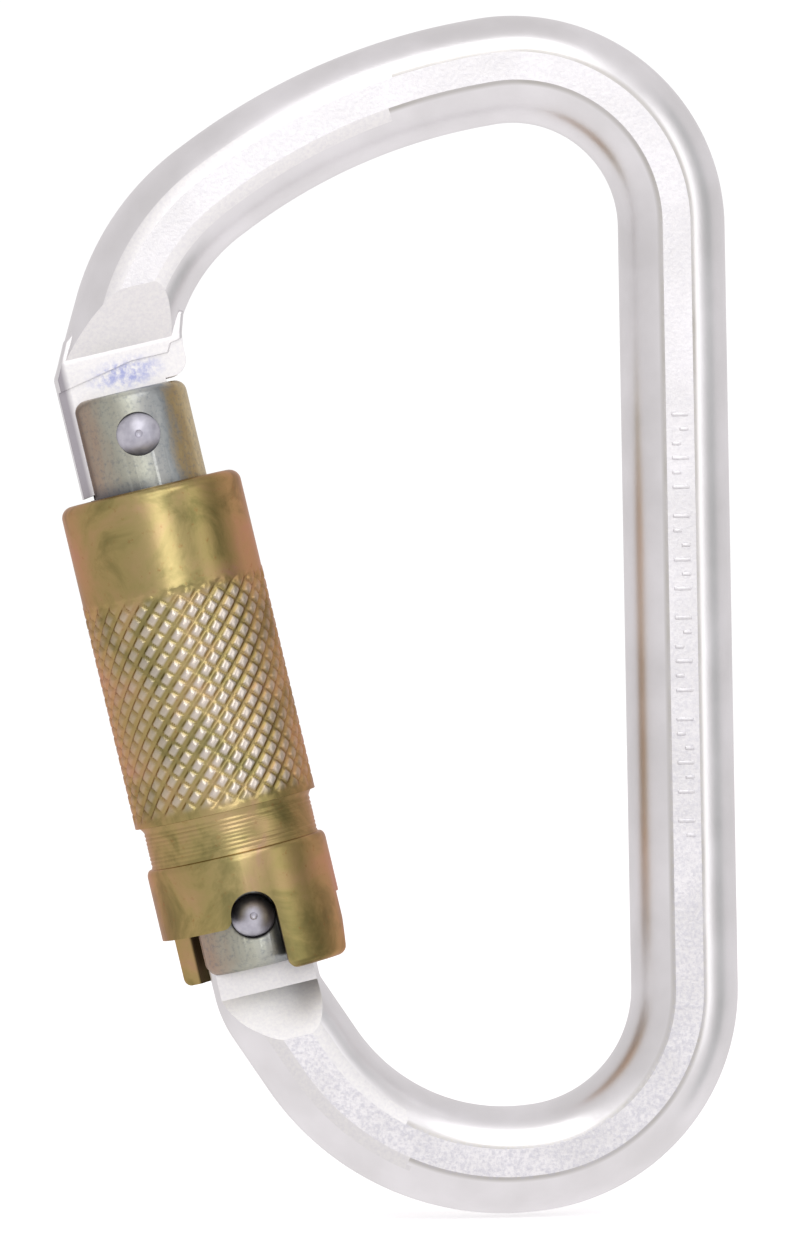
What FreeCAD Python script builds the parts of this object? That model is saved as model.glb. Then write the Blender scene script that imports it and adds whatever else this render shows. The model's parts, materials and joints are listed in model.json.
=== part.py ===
import FreeCAD, Part
import Sketcher
import math
import os

# A large steel locking carabiner. Everything is modelled about the gate: the hinge
# pin is at the origin, local Z runs up the gate's own axis, local X points from the
# gate to the spine and -Y is the front. One shared placement then stands the spine
# upright and centres the whole object. Lengths are in mm and angles in degrees.

doc = FreeCAD.newDocument("carabiner")
V = FreeCAD.Vector
sheet = doc.addObject("Spreadsheet::Sheet", "Sizes")

# ---------------------------------------------------------------- driving sizes
driving = [
    ("barDiameter", 12.0),       # round stock the frame is bent from
    ("gateLean", 12.4),          # angle between the gate and the spine
    ("pinSpacing", 55.0),        # hinge pin to latch pin
    ("frameReach", 48.5),        # hinge pin to the spine's centre line
    ("spineFootDrop", 36.13),    # lower spine corner below the hinge
    ("bowFootDrop", 32.25),      # bottom bow corner below the hinge
    ("tangBendDrop", 9.7),       # where the bar starts to bend, below the hinge
    ("spineHeadRise", 29.61),    # upper spine corner above the latch pin
    ("bowHeadRise", 31.57),      # top bow corner above the latch pin
    ("noseBendRise", 21.13),     # nose corner above the latch pin
    ("tangBendRadius", 8.0),
    ("noseBendRadius", 25.0),
    ("tangHalf", 2.5),           # half thickness of the hinge tang
    ("tangCreaseDrop", 8.7),     # foot of the tang's ramps
    ("tangRampDrop", 14.3),      # top of the tang's ramps
    ("tongueHalf", 2.4),         # half thickness of the latch tongue
    ("noseFlatHalf", 2.7),       # half thickness of the flat above the tongue
    ("noseCreaseRise", 9.8),     # foot of the nose ramps above the latch pin
    ("noseRampRise", 16.1),      # top of the nose ramps above the latch pin
    ("tongueTipDrop", 5.1),      # tongue tip arc inside the latch pin's swing
    ("latchPinRadius", 1.75),
    ("hingePinRadius", 2.0),
    ("sleeveGap", 1.4),          # between the barrel and the sleeve's bore
    ("sleeveWall", 2.2),
    ("runFit", 0.05),            # radial clearance of the turning fits
    ("latchFit", 0.15),          # play of the latch pin in the tongue's hook
    ("camOffset", 2.35),         # cam centre from the hinge
    ("camRadius", 4.0),
    ("eyeRadius", 3.1),
    ("barrelRadius", 6.65),
    ("barrelFoot", 5.8),         # barrel's lower end below the hinge
    ("barrelHeadRise", 5.0),     # barrel's upper end above the latch pin
    ("barrelRound", 1.3),
    ("footSlotTop", 6.5),
    ("slotFit", 0.1),            # side clearance of tang and tongue in their slots
    ("headSlotDrop", 6.0),       # floor of the upper slot below the latch pin
    ("plungerRadius", 2.3),
    ("plungerLength", 8.8),
    ("plungerFit", 0.08),
    ("springBoreTop", 24.0),
    ("gateWire", 0.5),
    ("sleeveRimDrop", 6.1),      # sleeve's rim below the latch pin
    ("sleeveSkirtDrop", 6.6),    # full skirt below the hinge
    ("sleeveShortDrop", 0.7),    # short edge below the hinge
    ("sleeveRound", 1.3),
    ("grooveFoot", 7.3),
    ("grooveHead", 12.1),
    ("landFoot", 14.0),
    ("landHead", 18.0),
    ("landFit", 0.07),           # sleeve's guide land on the barrel
    ("notchHalf", 2.57),
    ("notchRise", 0.4),           # the notch arches spring this far above the hinge line
    ("shortArc", 121.0),         # how far round the short edge runs from the notch
    ("reliefHalf", 2.85),
    ("reliefFlareHalf", 4.35),
    ("reliefTop", 0.35),
    ("washerThick", 0.8),
    ("ringThick", 0.8),
    ("sleeveWire", 0.9),
]
# sizes worked out from the driving ones
derived = [
    ("barRadius", "=barDiameter/2"),
    ("barFlatHalf", "=barRadius*0.965"),
    ("sleeveBore", "=barrelRadius+sleeveGap"),
    ("sleeveRadius", "=sleeveBore+sleeveWall"),
    ("grooveRadius", "=sleeveRadius-0.75"),
    ("knurlRadius", "=sleeveRadius+0.07"),
    ("knurlHead", "=pinSpacing-17.5"),
    ("ringRise", "=pinSpacing-9.5"),
    ("ringGrooveRadius", "=barrelRadius-0.75"),
    # the tongue stands just proud of the barrel on the outer side
    ("tongueOuter", "=barrelRadius+0.8"),
    ("tongueInner", "=barrelRadius-2.05"),
    # the pin heads sit in counterbores and stay just inside the sleeve's bore
    ("pinHeadRadius", "=hingePinRadius+0.45"),
    ("pinReach", "=sleeveBore-0.25"),
    ("pinHeadSeat", "=barrelRadius-0.75"),
    ("pinHeadEdge", "=barrelRadius-0.35"),
    ("reach", "=frameReach/48.5"),
    ("spineFootX", "=frameReach*0.86448"),
    ("spineFootZ", "=-spineFootDrop"),
    ("bowFootX", "=8.65*reach"),
    ("bowFootZ", "=-bowFootDrop"),
    ("tangBendZ", "=-tangBendDrop"),
    ("spineHeadX", "=spineFootX+(pinSpacing+spineHeadRise+spineFootDrop)*tan(gateLean)"),
    ("spineHeadZ", "=pinSpacing+spineHeadRise"),
    ("noseBendX", "=6.36"),
    ("bowHeadX", "=noseBendX+23.88*reach"),
    ("bowHeadZ", "=pinSpacing+bowHeadRise"),
    ("noseBendZ", "=pinSpacing+noseBendRise"),
    ("noseEndX", "=-3.49"),
    ("noseEndZ", "=pinSpacing+3"),
    ("bowFootRadius", "=26*reach*min(1;reach)"),
    ("spineFootRadius", "=19*reach"),
    ("spineHeadRadius", "=17.8*reach"),
    ("bowHeadRadius", "=69*reach"),
    ("noseArcRadius", "=noseBendRadius*reach"),
    ("zero", "=0"),
    ("pathStartZ", "=-1"),
    ("tipRadius", "=pinSpacing-tongueTipDrop"),
    ("noseTrimZ", "=pinSpacing+8.2"),
    ("stepRise", "=pinSpacing+7.95"),
    # nose plate outline, round from the outer lower corner
    ("plateFootZ", "=pinSpacing-9"),
    ("plateOuter", "=-tongueOuter"),
    ("shoulderZ", "=pinSpacing+8"),
    ("plateAX", "=-5.55"),
    ("plateAZ", "=pinSpacing+12"),
    ("plateBX", "=1"),
    ("plateBZ", "=pinSpacing+17"),
    ("plateCX", "=8.25"),
    ("plateCZ", "=pinSpacing+12.2"),
    ("plateDX", "=7.25"),
    ("plateDZ", "=pinSpacing+9.4"),
    ("plateEX", "=7.25"),
    ("plateEZ", "=pinSpacing+barrelHeadRise+0.4"),
    ("plateRoundA", "=0.7"),
    ("plateRoundD", "=3"),
    ("plateRoundE", "=1.9"),
    # side profile of what is milled away beside the tang
    ("cutOut", "=barRadius+1"),
    ("tangTopZ", "=20"),
    ("tangCreaseZ", "=-tangCreaseDrop"),
    ("tangRampZ", "=-tangRampDrop"),
    # and beside the nose
    ("noseLowZ", "=pinSpacing-15"),
    ("noseCreaseZ", "=pinSpacing+noseCreaseRise"),
    ("noseRampZ", "=pinSpacing+noseRampRise"),
    # barrel outline
    ("barrelFootZ", "=-barrelFoot"),
    ("barrelHeadZ", "=pinSpacing+barrelHeadRise"),
    ("barrelFootRound", "=1.2"),
    ("ringGrooveLow", "=ringRise-0.05"),
    ("ringGrooveHigh", "=ringRise+ringThick+0.05"),
    # sleeve outline
    ("skirtZ", "=-sleeveSkirtDrop"),
    ("skirtRound", "=0.9"),
    ("collarRadius", "=sleeveRadius-0.03"),
    ("grooveBevel", "=grooveHead-0.4"),
    ("rimZ", "=pinSpacing-sleeveRimDrop"),
    ("landRadius", "=barrelRadius+landFit"),
    ("knurlChamferLow", "=grooveHead+0.4"),
    ("knurlChamferHigh", "=knurlHead-0.3"),
    # relief outline in the skirt
    ("reliefNeg", "=-reliefHalf"),
    ("reliefFlareNeg", "=-reliefFlareHalf"),
    ("reliefStraight", "=-2.6"),
    ("reliefFoot", "=-sleeveSkirtDrop-0.2"),
    # pin outlines
    ("domeSphere", "=(pinHeadRadius^2+(pinReach-pinHeadEdge)^2)/(2*(pinReach-pinHeadEdge))"),
    ("domeCentre", "=pinReach-domeSphere"),
    # plunger and springs
    ("plungerFootZ", "=camRadius-camOffset*sin(20)+0.03"),
    ("sleeveSpringFoot", "=landHead+washerThick+0.04"),
    ("sleeveSpringRadius", "=barrelRadius+0.2+sleeveWire/2"),
    ("gateSpringRadius", "=plungerRadius-gateWire/2-0.15"),
]
row = 1
for name, value in driving:
    sheet.set("A%d" % row, name)
    sheet.set("B%d" % row, str(value))
    sheet.setAlias("B%d" % row, name)
    row += 1
for name, formula in derived:
    sheet.set("A%d" % row, name)
    sheet.set("B%d" % row, formula)
    sheet.setAlias("B%d" % row, name)
    row += 1
doc.recompute()


def size(name):
    return float(sheet.get(name))


def bind(item, values):
    for prop, expression in values.items():
        item.setExpression(prop, expression)


# ---------------------------------------------------------------- shape helpers
flatXZ = FreeCAD.Placement(V(0, 0, 0), FreeCAD.Rotation(V(1, 0, 0), 90))
flatYZ = FreeCAD.Placement(V(0, 0, 0), FreeCAD.Rotation(V(1, 1, 1), 120))
alongY = FreeCAD.Rotation(V(1, 0, 0), -90)


def outline(name, corners, placement, closed=True):
    """A sketch through corners named in the sheet, some of them rounded."""
    sketch = doc.addObject("Sketcher::SketchObject", name)
    sketch.Placement = placement
    pts = [V(size(x), size(y), 0) for x, y, r in corners]
    count = len(corners)
    rounds = [r for x, y, r in corners]
    ends = {}
    for i in range(count):
        if rounds[i] and (closed or 0 < i < count - 1):
            before, after = pts[i - 1] - pts[i], pts[(i + 1) % count] - pts[i]
            half = before.getAngle(after) / 2
            reach = size(rounds[i]) / math.tan(half)
            before.normalize()
            after.normalize()
            middle = before + after
            middle.normalize()
            centre = pts[i] + middle * (size(rounds[i]) / math.sin(half))
            ends[i] = (pts[i] + before * reach, pts[i] + after * reach, centre)
        else:
            ends[i] = (pts[i], pts[i], None)
    legs = count if closed else count - 1
    for i in range(legs):
        sketch.addGeometry(Part.LineSegment(ends[i][1], ends[(i + 1) % count][0]), False)
    marks = {}
    for i in range(count):
        if ends[i][2]:
            first, last, centre = ends[i]
            a1 = math.atan2(first.y - centre.y, first.x - centre.x)
            a2 = math.atan2(last.y - centre.y, last.x - centre.x)
            turn = (a2 - a1 + math.pi) % (2 * math.pi) - math.pi
            radius = size(rounds[i])
            circle = Part.Circle(centre, V(0, 0, 1), radius)
            if turn > 0:
                arc = Part.ArcOfCircle(circle, a1, a1 + turn)
            else:
                arc = Part.ArcOfCircle(circle, a2, a2 - turn)
            marks[i] = (sketch.addGeometry(arc, False), turn > 0)
    con = sketch.addConstraint
    for i in range(count):
        lineIn, lineOut = (i - 1) % count, i
        if i in marks:
            arcId, forward = marks[i]
            corner = sketch.addGeometry(Part.Point(pts[i]), True)
            con(Sketcher.Constraint("PointOnObject", corner, 1, lineIn))
            con(Sketcher.Constraint("PointOnObject", corner, 1, lineOut))
            con(Sketcher.Constraint("Tangent", lineIn, 2, arcId, 1 if forward else 2))
            con(Sketcher.Constraint("Tangent", lineOut, 1, arcId, 2 if forward else 1))
            mark = con(Sketcher.Constraint("Radius", arcId, size(rounds[i])))
            sketch.setExpression("Constraints[%d]" % mark, "Sizes." + rounds[i])
            at = (corner, 1)
        elif i < legs:
            at = (lineOut, 1)
            if closed or i > 0:
                con(Sketcher.Constraint("Coincident", lineIn, 2, lineOut, 1))
        else:
            at = (lineIn, 2)
        for kind, key in (("DistanceX", corners[i][0]), ("DistanceY", corners[i][1])):
            mark = con(Sketcher.Constraint(kind, -1, 1, at[0], at[1], size(key)))
            sketch.setExpression("Constraints[%d]" % mark, "Sizes." + key)
    return sketch


def extrude(name, sketch, expression):
    """A sketch pushed out equally to both sides of its plane."""
    item = doc.addObject("Part::Extrusion", name)
    item.Base = sketch
    item.DirMode = "Normal"
    item.Solid = True
    item.Symmetric = True
    item.setExpression("LengthFwd", expression)
    return item


def revolve(name, sketch):
    item = doc.addObject("Part::Revolution", name)
    item.Source = sketch
    item.Axis = V(0, 0, 1)
    item.Base = V(0, 0, 0)
    item.Angle = 360
    item.Solid = True
    return item


def box(name, low, high):
    """A box from named or written limits, low and high being (x, y, z) expressions."""
    item = doc.addObject("Part::Box", name)
    for prop, k in (("Length", 0), ("Width", 1), ("Height", 2)):
        item.setExpression(prop, "(%s)-(%s)" % (high[k], low[k]))
        item.setExpression(".Placement.Base." + "xyz"[k], low[k])
    return item


def cylinder(name, radius, low, length, rotation=None, x="0", z="0"):
    """A cylinder along Z, or along Y when given that rotation."""
    item = doc.addObject("Part::Cylinder", name)
    item.setExpression("Radius", radius)
    item.setExpression("Height", length)
    if rotation:
        item.Placement = FreeCAD.Placement(V(0, 0, 0), rotation)
        item.setExpression(".Placement.Base.x", x)
        item.setExpression(".Placement.Base.y", low)
        item.setExpression(".Placement.Base.z", z)
    else:
        item.setExpression(".Placement.Base.z", low)
    return item


def cut(name, base, tool):
    item = doc.addObject("Part::Cut", name)
    item.Base = base
    item.Tool = tool
    return item


def common(name, base, tool):
    item = doc.addObject("Part::Common", name)
    item.Base = base
    item.Tool = tool
    return item


def fuse(name, items, refine=False):
    item = doc.addObject("Part::MultiFuse", name)
    item.Shapes = items
    item.Refine = refine
    return item


# ---------------------------------------------------------------- bent frame
path = outline("BarPath", [
    ("zero", "pathStartZ", None),
    ("zero", "tangBendZ", "tangBendRadius"),
    ("bowFootX", "bowFootZ", "bowFootRadius"),
    ("spineFootX", "spineFootZ", "spineFootRadius"),
    ("spineHeadX", "spineHeadZ", "spineHeadRadius"),
    ("bowHeadX", "bowHeadZ", "bowHeadRadius"),
    ("noseBendX", "noseBendZ", "noseArcRadius"),
    ("noseEndX", "noseEndZ", None),
], flatXZ, closed=False)
section = doc.addObject("Part::Circle", "BarSection")
bind(section, {"Radius": "Sizes.barRadius", ".Placement.Base.z": "Sizes.pathStartZ"})
doc.recompute()
bar = doc.addObject("Part::Sweep", "Bar")
bar.Sections = [section]
bar.Spine = (path, ["Edge%d" % (k + 1) for k in range(len(path.Shape.Edges))])
bar.Solid = True
bar.Frenet = False
slab = box("FlatsSlab", ("-60", "-Sizes.barFlatHalf", "-90"),
           ("140", "Sizes.barFlatHalf", "150"))
flatBar = common("FlatBar", bar, slab)

tangSide = []
noseSide = []
for side, y in (("Front", -1), ("Back", 1)):
    for key in ("cutOut", "tangHalf", "noseFlatHalf", "barFlatHalf"):
        row += 1
        sheet.set("B%d" % row, "=%d*%s" % (y, key))
        sheet.setAlias("B%d" % row, key + side)
    doc.recompute()
    low = outline("TangCut" + side, [
        ("cutOut" + side, "tangTopZ", None),
        ("tangHalf" + side, "tangTopZ", None),
        ("tangHalf" + side, "tangCreaseZ", None),
        ("barFlatHalf" + side, "tangRampZ", None),
        ("cutOut" + side, "tangRampZ", None),
    ], flatYZ)
    tangSide.append(extrude("TangMill" + side, low, "40"))
    high = outline("NoseCut" + side, [
        ("cutOut" + side, "noseLowZ", None),
        ("noseFlatHalf" + side, "noseLowZ", None),
        ("noseFlatHalf" + side, "noseCreaseZ", None),
        ("barFlatHalf" + side, "noseRampZ", None),
        ("cutOut" + side, "noseRampZ", None),
    ], flatYZ)
    noseSide.append(extrude("NoseMill" + side, high, "44"))
noseTrim = box("NoseTrim", ("-20", "-10", "Sizes.noseTrimZ-30"), ("20", "10", "Sizes.noseTrimZ"))
mills = fuse("FrameMills", tangSide + noseSide + [noseTrim])
milledBar = cut("MilledBar", flatBar, mills)

plateSketch = outline("NosePlateOutline", [
    ("plateOuter", "plateFootZ", None),
    ("plateOuter", "shoulderZ", "plateRoundA"),
    ("plateAX", "plateAZ", None),
    ("plateBX", "plateBZ", None),
    ("plateCX", "plateCZ", None),
    ("plateDX", "plateDZ", "plateRoundD"),
    ("plateEX", "plateEZ", "plateRoundE"),
    ("tongueInner", "plateEZ", None),
    ("tongueInner", "plateFootZ", None),
], flatXZ)
plate = extrude("NosePlate", plateSketch, "2*Sizes.noseFlatHalf")
# the tongue is thinner than the flat above it, with a sloping step between them
steps = []
for side, y in (("Front", 1), ("Back", -1)):
    step = doc.addObject("Part::Box", "TongueStep" + side)
    bind(step, {"Length": "40", "Width": "5", "Height": "40"})
    step.Placement = FreeCAD.Placement(V(0, 0, 0), FreeCAD.Rotation(V(0, 1, 0), -11.2))
    step.setExpression(".Placement.Base.x", "-20*cos(11.2)+40*sin(11.2)")
    step.setExpression(".Placement.Base.z", "Sizes.stepRise-20*sin(11.2)-40*cos(11.2)")
    if y > 0:
        step.setExpression(".Placement.Base.y", "-5-Sizes.tongueHalf")
    else:
        step.setExpression(".Placement.Base.y", "Sizes.tongueHalf")
    steps.append(step)
tip = cylinder("TongueTip", "Sizes.tipRadius", "-8", "16", alongY)
swingOut = cylinder("HookSwingOut", "Sizes.pinSpacing+Sizes.latchPinRadius+Sizes.latchFit",
                    "-8", "16", alongY)
swingIn = cylinder("HookSwingIn", "Sizes.pinSpacing-Sizes.latchPinRadius-Sizes.latchFit",
                   "-9", "18", alongY)
swing = cut("HookSwing", swingOut, swingIn)
hookBox = box("HookSide", ("0", "-8", "Sizes.pinSpacing-8"), ("14", "8", "Sizes.pinSpacing+5"))
hookMouth = common("HookMouth", swing, hookBox)
hookSeat = cylinder("HookSeat", "Sizes.latchPinRadius+Sizes.latchFit", "-8", "16", alongY,
                    z="Sizes.pinSpacing")
tongue = cut("Tongue", plate, fuse("TongueTools", steps + [tip, hookMouth, hookSeat]))

eye = cylinder("TangEye", "Sizes.eyeRadius", "-Sizes.tangHalf", "2*Sizes.tangHalf", alongY)
cam = cylinder("TangCam", "Sizes.camRadius", "-Sizes.tangHalf", "2*Sizes.tangHalf", alongY,
               x="Sizes.camOffset*cos(20)", z="-Sizes.camOffset*sin(20)")
frameSolid = fuse("FrameSolid", [milledBar, tongue, eye, cam])
hingeHole = cylinder("HingeHole", "Sizes.hingePinRadius+Sizes.runFit", "-8", "16", alongY)
body = cut("CarabinerBody", frameSolid, hingeHole)

# ---------------------------------------------------------------- gate barrel
barrelSketch = outline("BarrelOutline", [
    ("zero", "barrelFootZ", None),
    ("barrelRadius", "barrelFootZ", "barrelFootRound"),
    ("barrelRadius", "ringGrooveLow", None),
    ("ringGrooveRadius", "ringGrooveLow", None),
    ("ringGrooveRadius", "ringGrooveHigh", None),
    ("barrelRadius", "ringGrooveHigh", None),
    ("barrelRadius", "barrelHeadZ", "barrelRound"),
    ("zero", "barrelHeadZ", None),
], flatXZ)
barrelBlank = revolve("BarrelBlank", barrelSketch)
footSlot = box("FootSlot", ("-12", "-Sizes.tangHalf-Sizes.slotFit", "-12"),
               ("12", "Sizes.tangHalf+Sizes.slotFit", "Sizes.footSlotTop"))
headSlot = box("HeadSlot", ("-12", "-Sizes.tongueHalf-Sizes.slotFit",
                            "Sizes.pinSpacing-Sizes.headSlotDrop"),
               ("Sizes.tongueInner+0.3", "Sizes.tongueHalf+Sizes.slotFit", "80"))
springBore = cylinder("SpringBore", "Sizes.plungerRadius+Sizes.plungerFit", "5",
                      "Sizes.springBoreTop-5")
pinCuts = []
for name, shaft, level in (("Hinge", "Sizes.hingePinRadius", "0"),
                           ("Latch", "Sizes.latchPinRadius", "Sizes.pinSpacing")):
    pinCuts.append(cylinder(name + "PinHole", shaft, "-10", "20", alongY, z=level))
    pinCuts.append(cylinder(name + "FrontSeat", "Sizes.pinHeadRadius", "-12",
                            "12-Sizes.pinHeadSeat", alongY, z=level))
    pinCuts.append(cylinder(name + "BackSeat", "Sizes.pinHeadRadius", "Sizes.pinHeadSeat",
                            "12-Sizes.pinHeadSeat", alongY, z=level))
barrel = cut("GateBarrel", barrelBlank,
             fuse("BarrelTools", [footSlot, headSlot, springBore] + pinCuts))


# ---------------------------------------------------------------- riveted pins
def pin(name, shaft, level):
    rod = cylinder(name + "Shaft", shaft, "-Sizes.pinHeadSeat", "2*Sizes.pinHeadSeat",
                   alongY, z=level)
    parts = [rod]
    for side, y in (("Front", "-1"), ("Back", "1")):
        head = doc.addObject("Part::Cylinder", name + side + "Head")
        head.Placement = FreeCAD.Placement(V(0, 0, 0), alongY)
        bind(head, {"Radius": "Sizes.pinHeadRadius",
                    "Height": "Sizes.pinReach-Sizes.pinHeadSeat",
                    ".Placement.Base.z": level,
                    ".Placement.Base.y": "Sizes.pinHeadSeat" if y == "1"
                    else "-Sizes.pinReach"})
        ball = doc.addObject("Part::Sphere", name + side + "Ball")
        bind(ball, {"Radius": "Sizes.domeSphere", ".Placement.Base.z": level,
                    ".Placement.Base.y": y + "*Sizes.domeCentre"})
        parts.append(common(name + side + "Dome", head, ball))
    return fuse(name, parts)


hingePin = pin("HingePin", "Sizes.hingePinRadius", "0")
latchPin = pin("LatchPin", "Sizes.latchPinRadius", "Sizes.pinSpacing")

# ---------------------------------------------------------------- locking sleeve
sleeveSketch = outline("SleeveOutline", [
    ("sleeveBore", "skirtZ", None),
    ("collarRadius", "skirtZ", "skirtRound"),
    ("collarRadius", "grooveFoot", None),
    ("grooveRadius", "grooveFoot", None),
    ("grooveRadius", "grooveBevel", None),
    ("grooveRadius", "grooveHead", None),
    ("knurlRadius", "knurlChamferLow", None),
    ("knurlRadius", "knurlChamferHigh", None),
    ("sleeveRadius", "knurlHead", None),
    ("sleeveRadius", "rimZ", "sleeveRound"),
    ("sleeveBore", "rimZ", None),
    ("sleeveBore", "landHead", None),
    ("landRadius", "landHead", None),
    ("landRadius", "landFoot", None),
    ("sleeveBore", "landFoot", None),
], flatXZ)
sleeveBlank = revolve("SleeveBlank", sleeveSketch)
sleeveTools = []
# front and back notches round the hinge pin's heads
for name, low in (("Front", "-14"), ("Back", "0")):
    sleeveTools.append(box(name + "Notch", ("-Sizes.notchHalf", low, "-12"),
                           ("Sizes.notchHalf", low + "+14", "Sizes.notchRise")))
    sleeveTools.append(cylinder(name + "NotchArch", "Sizes.notchHalf", low, "14", alongY,
                                z="Sizes.notchRise"))
# the short edge, from the front notch round the outer side
short = doc.addObject("Part::Cylinder", "ShortEdge")
short.Placement = FreeCAD.Placement(
    V(0, 0, 0), FreeCAD.Rotation(V(0, 0, 1), -90 - size("shortArc")))
bind(short, {"Radius": "14", "Height": "10", "Angle": "Sizes.shortArc",
             ".Placement.Base.z": "-Sizes.sleeveShortDrop-10"})
sleeveTools.append(short)
# flared reliefs for the tang: one toward the spine and one at the back
reliefCorners = [
    ("reliefNeg", "reliefTop", None), ("reliefHalf", "reliefTop", None),
    ("reliefHalf", "reliefStraight", None), ("reliefFlareHalf", "reliefFoot", None),
    ("reliefFlareNeg", "reliefFoot", None), ("reliefNeg", "reliefStraight", None),
]
towardSpine = extrude("ReliefSpineLong", outline("ReliefSpine", reliefCorners, flatYZ), "28")
spineHalf = box("SpineHalf", ("0", "-14", "-20"), ("14", "14", "20"))
sleeveTools.append(common("SpineRelief", towardSpine, spineHalf))
towardBack = extrude("ReliefBackLong", outline("ReliefBack", reliefCorners, flatXZ), "28")
backHalf = box("BackHalf", ("-14", "0", "-20"), ("14", "14", "20"))
sleeveTools.append(common("BackRelief", towardBack, backHalf))
sleeve = cut("LockingSleeve", sleeveBlank, fuse("SleeveTools", sleeveTools))

# ---------------------------------------------------------------- washer and ring
washerOut = cylinder("WasherOut", "Sizes.sleeveBore-0.1", "Sizes.landHead+0.02",
                     "Sizes.washerThick")
washerIn = cylinder("WasherIn", "Sizes.barrelRadius+0.1", "Sizes.landHead-1",
                    "Sizes.washerThick+3")
washer = cut("ThrustWasher", washerOut, washerIn)
ringOut = cylinder("RingOut", "Sizes.sleeveBore-0.3", "Sizes.ringRise", "Sizes.ringThick")
ringIn = cylinder("RingIn", "Sizes.ringGrooveRadius+0.05", "Sizes.ringRise-1",
                  "Sizes.ringThick+2")
ringGap = box("RingGap", ("-12", "-1.2", "Sizes.ringRise-1"), ("0", "1.2", "Sizes.ringRise+3"))
ring = cut("RetainingRing", ringOut, fuse("RingTools", [ringIn, ringGap]))


# ---------------------------------------------------------------- coil springs
def coil(name, radius, wire, foot, height, turns):
    helix = doc.addObject("Part::Helix", name + "Line")
    bind(helix, {"Radius": radius, "Height": height, "Pitch": "(%s)/%d" % (height, turns),
                 ".Placement.Base.z": foot})
    helix.SegmentLength = 1
    wireEnd = doc.addObject("Part::Circle", name + "Wire")
    wireEnd.Placement = FreeCAD.Placement(V(0, 0, 0), FreeCAD.Rotation(V(1, 0, 0), 90))
    bind(wireEnd, {"Radius": wire, ".Placement.Base.x": radius, ".Placement.Base.z": foot})
    doc.recompute()
    item = doc.addObject("Part::Sweep", name)
    item.Sections = [wireEnd]
    item.Spine = (helix, ["Edge%d" % (k + 1) for k in range(len(helix.Shape.Edges))])
    item.Solid = True
    item.Frenet = True
    return item


sleeveSpring = coil("SleeveSpring", "Sizes.sleeveSpringRadius", "Sizes.sleeveWire/2",
                    "Sizes.sleeveSpringFoot+Sizes.sleeveWire/2",
                    "Sizes.ringRise-0.02-Sizes.sleeveSpringFoot-Sizes.sleeveWire", 8)
plunger = cylinder("GatePlunger", "Sizes.plungerRadius", "Sizes.plungerFootZ",
                   "Sizes.plungerLength")
gateSpring = coil("GateSpring", "Sizes.gateSpringRadius", "Sizes.gateWire/2",
                  "Sizes.plungerFootZ+Sizes.plungerLength+0.02+Sizes.gateWire/2",
                  "Sizes.springBoreTop-0.04-Sizes.plungerFootZ-Sizes.plungerLength"
                  "-Sizes.gateWire", 10)
doc.recompute()

# ---------------------------------------------------------------- shared placement
nodes = [
    (body, "carabiner_body"), (barrel, "gate_barrel"), (hingePin, "hinge_pin"),
    (latchPin, "latch_pin"), (sleeve, "locking_sleeve"), (sleeveSpring, "sleeve_spring"),
    (ring, "spring_retaining_ring"), (washer, "thrust_washer"),
    (plunger, "gate_plunger"), (gateSpring, "gate_spring"),
]
lean = FreeCAD.Placement(V(0, 0, 0), FreeCAD.Rotation(V(0, 1, 0), -size("gateLean")))
limits = FreeCAD.BoundBox()
for item, name in nodes:
    leaning = item.Shape.copy()
    leaning.Placement = lean.multiply(leaning.Placement)
    limits.add(leaning.optimalBoundingBox(False, False))
centre = limits.Center
frame = FreeCAD.Placement(V(-centre.x, -centre.y, -centre.z), lean.Rotation)
placed = []
for item, name in nodes:
    wrap = doc.addObject("Part::Compound", item.Name + "Placed")
    wrap.Links = [item]
    wrap.Placement = frame
    wrap.Label = name
    placed.append(wrap)
doc.recompute()

# ---------------------------------------------------------------- check and export
for item in doc.Objects:
    if "Invalid" in item.State or "Error" in item.State:
        raise RuntimeError("did not rebuild: " + item.Name)
os.makedirs("parts", exist_ok=True)
for item in placed:
    shape = item.Shape
    if shape.isNull() or not shape.isValid() or len(shape.Solids) != 1:
        raise RuntimeError("bad shape: " + item.Label)
    print(item.Label, round(shape.Volume, 2), len(shape.Faces))
    shape.exportStep("parts/" + item.Label + ".step")
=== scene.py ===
import json
import math

import bmesh
import bpy
from mathutils import Matrix, Vector


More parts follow.
